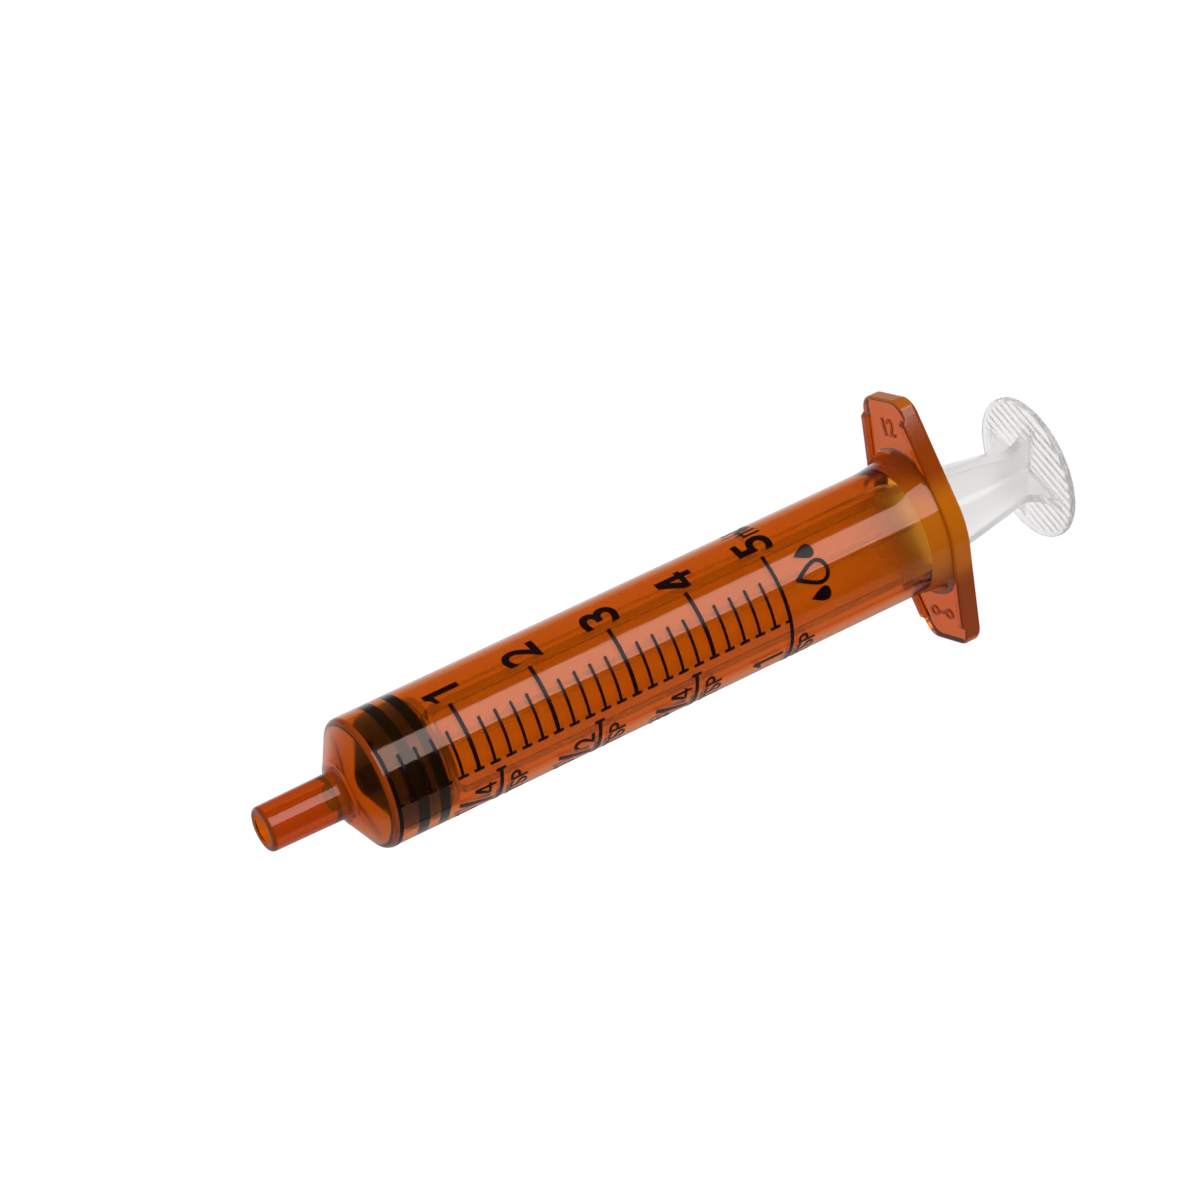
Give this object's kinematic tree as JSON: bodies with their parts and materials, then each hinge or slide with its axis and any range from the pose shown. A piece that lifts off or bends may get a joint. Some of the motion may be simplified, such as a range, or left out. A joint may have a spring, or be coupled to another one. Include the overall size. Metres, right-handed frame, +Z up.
{
  "type": "oral syringe",
  "caption": "Oral medicine syringe: amber graduated barrel with a blunt tip and winged finger flange, rubber stopper and clear ribbed plunger rod with a thumb disc.",
  "frame": {"origin": "middle of the bounding box, on the surface the syringe lies on, plunger fully pressed", "axes": "+X along the axis from the oral tip to the thumb disc, +Y along one wing of the finger flange, +Z up, through the printed side"},
  "size_m": [0.0882, 0.026, 0.0149],
  "materials": {
    "amber_plastic": "glossy translucent amber polypropylene",
    "clear_plastic": "natural frosted-clear polypropylene",
    "black_rubber": "satin moulded rubber, lightly lubricated",
    "scale_ink": "satin printed ink, slightly raised"
  },
  "bodies": {
    "barrel": {"barrel": "amber_plastic"},
    "stopper": {"plunger_stopper": "black_rubber"},
    "rod": {"plunger_rod": "clear_plastic"}
  },
  "joints": [
    {"name": "plunger_slide", "type": "slide", "parent": "barrel", "child": "stopper", "axis": [1, 0, 0], "range_m": [-0.0018, 0.054]},
    {"name": "rod_spin", "type": "hinge", "parent": "stopper", "child": "rod", "pos_m": [-0.02998, 0, 0.00744], "axis": [1, 0, 0], "continuous": true}
  ]
}
